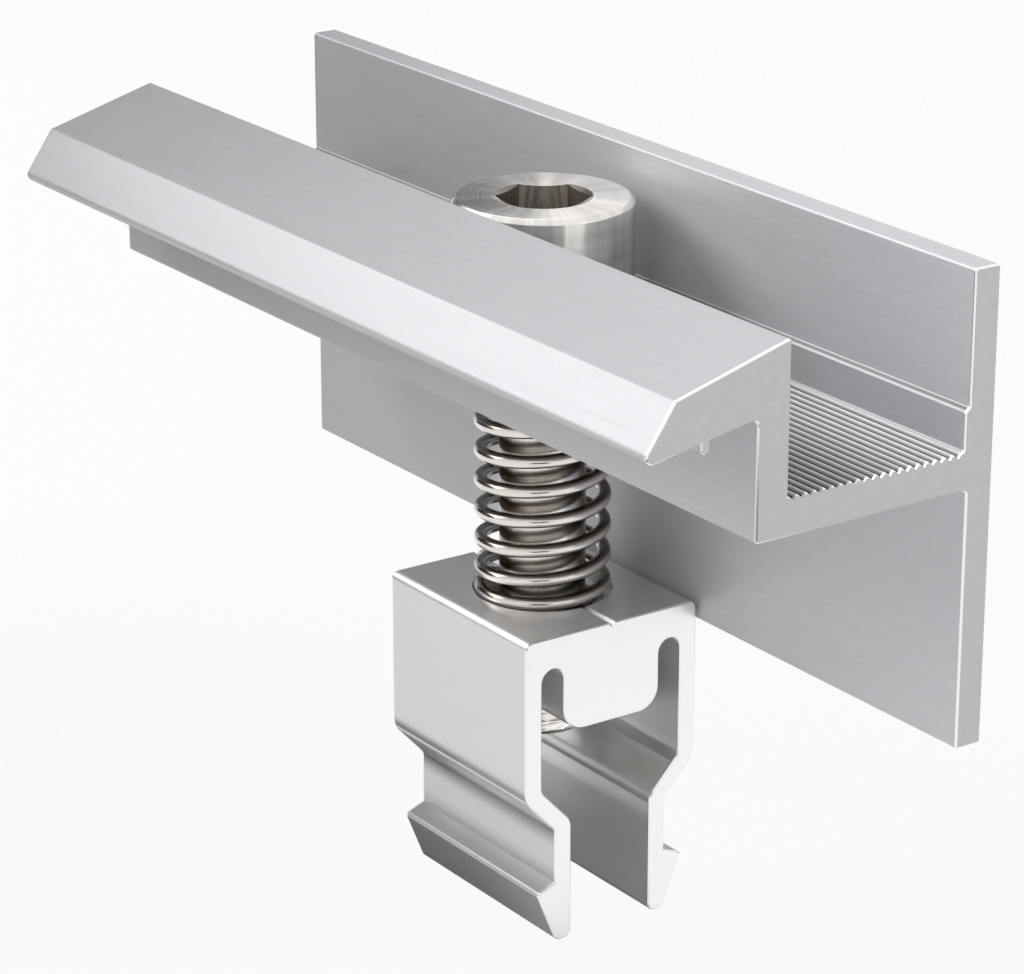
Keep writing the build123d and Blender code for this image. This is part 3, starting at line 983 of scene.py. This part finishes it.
def turned_steel():
    """Bright turned steel with painted sheen, and within the socket's width and depth a darker,
    browner colour: painted shade.
    """
    material, output = blank_material("turned screw steel")
    tree = material.node_tree
    place = node(tree, "TexCoord")
    rings = placed(tree, turned_rings, Place=(place, "Object"), Spacing=RING_SPACING)
    within = math_node(tree, "LESS_THAN", (rings, "Distance"), SOCKET_WITHIN * MM)
    lowest = (screw_high[2] - SOCKET_DOWN_TO) * MM
    above = math_node(tree, "GREATER_THAN", (rings, "Height"), lowest)
    inside = math_node(tree, "MULTIPLY", (within, 0), (above, 0))
    # Sweep, by the direction round the axis, paints bright and dark sectors: painted sheen, with
    # the lathe's rings as grain.
    fine = math_node(tree, "MULTIPLY", (rings, "Rings"), RINGS_PART)
    both = math_node(tree, "MULTIPLY_ADD", (rings, "Sweep"), SWEEP_PART, (fine, 0))
    sheen = node(tree, "MapRange", Value=(both, 0), _1=SHEEN_FROM, _2=SHEEN_AT)
    shell = blended(tree, (sheen, 0), (0.58, 0.55, 0.52), (0.98, 0.955, 0.92))
    # Inside the socket the darker, browner colour is painted shade in the recess.
    shaded_socket = blended(tree, (sheen, 0), (0.40, 0.36, 0.325), (0.78, 0.71, 0.65))
    # Every other wall of the hexagon is much darker: painted shade.
    shaded_socket = blended(tree, (rings, "Walls"), (0.20, 0.165, 0.14), colour_of(shaded_socket))
    colour = blended(tree, (inside, 0), colour_of(shell), colour_of(shaded_socket))
    rough = varied(tree, (rings, "Rings"), 0.16, 0.26)
    metal = node(tree, "MapRange", Value=(inside, 0), _3=1.0, _4=0.45)
    bump = node(tree, "Bump", Height=(rings, "Rings"), Strength=0.08, Distance=0.01 * MM)
    around = node(tree, "Tangent", {"direction_type": "RADIAL", "axis": "Z"})
    shader = node(
        tree, "BsdfPrincipled", Base_Color=colour_of(colour), Roughness=(rough, 0),
        Normal=(bump, 0), Tangent=(around, 0), Metallic=(metal, 0), Anisotropic=0.75,
        Anisotropic_Rotation=0.25,
    )
    tree.links.new(shader.outputs[0], output.inputs["Surface"])
    return material


screw_finish = turned_steel()
screw.data.materials.append(screw_finish)
dress("lock_washer", screw_finish)
print("materials on the screw:", len(screw.data.materials))

# %% [markdown]
# ## The polished shank
# Below the head the steel is drawn smooth. It mirrors more sharply than the head does, and its
# colour holds painted highlights along two opposite sides and painted shade, brown, between them.
# The faces below the head's underside take this second finish.

# %% Make the steel of the shank
SHANK_HIGHLIGHT_ANGLE = radians(-30)
SHANK_HIGHLIGHT_FROM, SHANK_HIGHLIGHT_AT = 0.50, 0.95


def polished_shank():
    """Smooth drawn steel for everything below the head. Its colour has painted highlights along two
    opposite sides and painted shade, browner, between them: the share is |x cos a + y sin a| /
    distance from the axis."""
    material, output = blank_material("polished shank steel")
    tree = material.node_tree
    place = node(tree, "TexCoord")
    rings = placed(tree, turned_rings, Place=(place, "Object"), Spacing=RING_SPACING)
    highlight_way = (cos(SHANK_HIGHLIGHT_ANGLE), sin(SHANK_HIGHLIGHT_ANGLE), 0)
    dot = node(
        tree, "VectorMath", {"operation": "DOT_PRODUCT"}, _0=(place, "Object"), _1=highlight_way,
    )
    share = math_node(tree, "DIVIDE", (dot, "Value"), (rings, "Distance"))
    facing = math_node(tree, "ABSOLUTE", (share, 0))
    highlight_share = node(
        tree, "MapRange", {"interpolation_type": "SMOOTHSTEP"}, Value=(facing, 0),
        _1=SHANK_HIGHLIGHT_FROM, _2=SHANK_HIGHLIGHT_AT,
    )
    # Painted highlights along two opposite sides, and painted shade, brown, between them.
    bright = blended(tree, (rings, "Rings"), (0.90, 0.87, 0.84), (1.0, 0.98, 0.95))
    colour = blended(tree, (highlight_share, 0), (0.27, 0.225, 0.19), colour_of(bright))
    rough = varied(tree, (rings, "Rings"), 0.15, 0.21)
    shader = node(
        tree, "BsdfPrincipled", Base_Color=colour_of(colour), Roughness=(rough, 0), Metallic=1.0,
    )
    tree.links.new(shader.outputs[0], output.inputs["Surface"])
    return material


def finish_below(piece, height, material):
    """Gives the faces whose middle is below the height the piece's second material."""
    piece.data.materials.append(material)
    middles = np.empty(len(piece.data.polygons) * 3)
    piece.data.polygons.foreach_get("center", middles)
    below = (middles.reshape(-1, 3)[:, 2] < height).astype(np.int32)
    piece.data.polygons.foreach_set("material_index", below)
    return int(below.sum())


head_underside = (screw_high[2] - HEAD_HEIGHT - 0.01) * MM
print("faces below the head:", finish_below(screw, head_underside, polished_shank()))
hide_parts("cap_screw")
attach(screw, "screw")

# %% [markdown]
# ## The spring
# The spring is round wire wound on a cylinder. Its height rises slowly in the closed turns at both
# ends and evenly between them. It is made in two lengths, an upper and a lower one. They meet
# behind the screw, out of sight.

# %% Wind the spring
WIRE = 1.0
SPRING_RADIUS = 4.5
ACTIVE_PITCH = 2.25
CLOSED_TURNS = 0.7
CLOSED_GAP = 0.04
SPRING_SEAT = 1.1
SHELF_UNDERSIDE = 18.4
SEAT_PLAY = 0.02
SOFT_TURNS, SOFT_STEPS = 0.06, 7

wire_low = SPRING_SEAT + SEAT_PLAY + WIRE / 2
wire_high = SHELF_UNDERSIDE - SEAT_PLAY - WIRE / 2
closed_rise = CLOSED_TURNS * (WIRE + CLOSED_GAP)
all_turns = (wire_high - wire_low - 2 * closed_rise) / ACTIVE_PITCH + 2 * CLOSED_TURNS


def wire_height(turn):
    """Straight rises between four places: both ends, and where each closed stretch stops. The
    mean over a few places close to each turn softens the corners between them."""
    places = [0, CLOSED_TURNS, all_turns - CLOSED_TURNS, all_turns]
    heights = [wire_low, wire_low + closed_rise, wire_high - closed_rise, wire_high]
    soft = np.linspace(-SOFT_TURNS, SOFT_TURNS, SOFT_STEPS)[:, None]
    spread = np.clip(turn + soft, 0, all_turns)
    return np.interp(spread, places, heights).mean(axis=0)


print("turns:", round(all_turns, 2))

# %% Sweep the wire along the coil
START_AT = 200.0
STEPS_PER_TURN = 72
WIRE_SIDES = 22
MEETS_AT_TURN = 2.85
WIRE_HIGHLIGHT_AT = radians(12)
INNER_HIGHLIGHT, END_HIGHLIGHT = 0.9, 0.5


def wound_wire(name, first_turn, last_turn):
    """Circle of the wire's radius, swept square to the helix (R cos a, R sin a, height). The
    attribute for the painted highlight is one on the wire's outer side, and nearly that on its
    inner side."""
    count = int((last_turn - first_turn) * STEPS_PER_TURN) + 1
    turn = np.linspace(first_turn, last_turn, count)
    angle = radians(START_AT) + tau * turn
    round_path = np.stack([np.cos(angle), np.sin(angle)], -1) * SPRING_RADIUS
    line = np.column_stack([round_path, wire_height(turn)])
    along = np.gradient(line, axis=0)
    along /= np.linalg.norm(along, axis=1, keepdims=True)
    outward = np.stack([np.cos(angle), np.sin(angle), np.zeros(count)], -1)
    outward -= (outward * along).sum(1, keepdims=True) * along
    outward /= np.linalg.norm(outward, axis=1, keepdims=True)
    upward = np.cross(along, outward)
    side = np.arange(WIRE_SIDES) * tau / WIRE_SIDES
    turned_out = np.cos(side)[None, :, None] * outward[:, None]
    round_wire = turned_out + np.sin(side)[None, :, None] * upward[:, None]
    rings = (line[:, None] + round_wire * WIRE / 2) * MM
    made = closed_rings(name, rings, line[0] * MM, line[-1] * MM)
    # The attribute holds the painted highlight on the wire's outer and inner sides.
    outer_and_inner = np.maximum(np.cos(side - WIRE_HIGHLIGHT_AT), -INNER_HIGHLIGHT * np.cos(side))
    rubbed = np.append(np.tile(outer_and_inner, count), [END_HIGHLIGHT, END_HIGHLIGHT])
    made.data.attributes.new("rubbed", "FLOAT", "POINT").data.foreach_set("value", rubbed)
    return made


lower_spring = wound_wire("spring_lower", 0, MEETS_AT_TURN)
upper_spring = wound_wire("spring_upper", MEETS_AT_TURN, all_turns)
print("lengths:", lower_spring.name, upper_spring.name)

# %% [markdown]
# ## Spring wire
# The wire is drawn stainless steel. Its colour is painted: bright on the outer and inner sides of
# the wire, as painted highlights, which in the photograph are the light lines on each coil, and
# brown on its top and bottom, as painted shade between the coils. An attribute on the mesh holds
# how far each point faces out or in, as the cosine of its angle round the wire, and the colour
# goes from brown to bright with it.

# %% Finish the spring and attach its upper length to the clamp
def spring_steel():
    material, output = blank_material("polished spring wire")
    tree = material.node_tree
    place = node(tree, "TexCoord")
    rings = placed(tree, turned_rings, Place=(place, "Object"), Spacing=0.05)
    highlight_attribute = node(tree, "Attribute", {"attribute_name": "rubbed"})
    uneven = math_node(tree, "MULTIPLY_ADD", (rings, "Rings"), 0.24, (highlight_attribute, "Fac"))
    highlight_share = node(
        tree, "MapRange", {"interpolation_type": "SMOOTHSTEP"}, Value=(uneven, 0), _1=0.56, _2=1.16,
    )
    # Brown is painted shade and bright is a painted highlight, by the attribute's share.
    colour = blended(tree, (highlight_share, 0), (0.16, 0.132, 0.11), (0.82, 0.78, 0.735))
    rough = varied(tree, (rings, "Rings"), 0.15, 0.22)
    bump = node(tree, "Bump", Height=(rings, "Rings"), Strength=0.05, Distance=0.01 * MM)
    shader = node(
        tree, "BsdfPrincipled", Base_Color=colour_of(colour), Roughness=(rough, 0),
        Normal=(bump, 0), Metallic=1.0,
    )
    tree.links.new(shader.outputs[0], output.inputs["Surface"])
    return material


wire_finish = spring_steel()
for length in (lower_spring, upper_spring):
    length.data.materials.append(wire_finish)
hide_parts("compression_spring")
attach(upper_spring, "clamp")
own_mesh(upper_spring)
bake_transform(lower_spring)
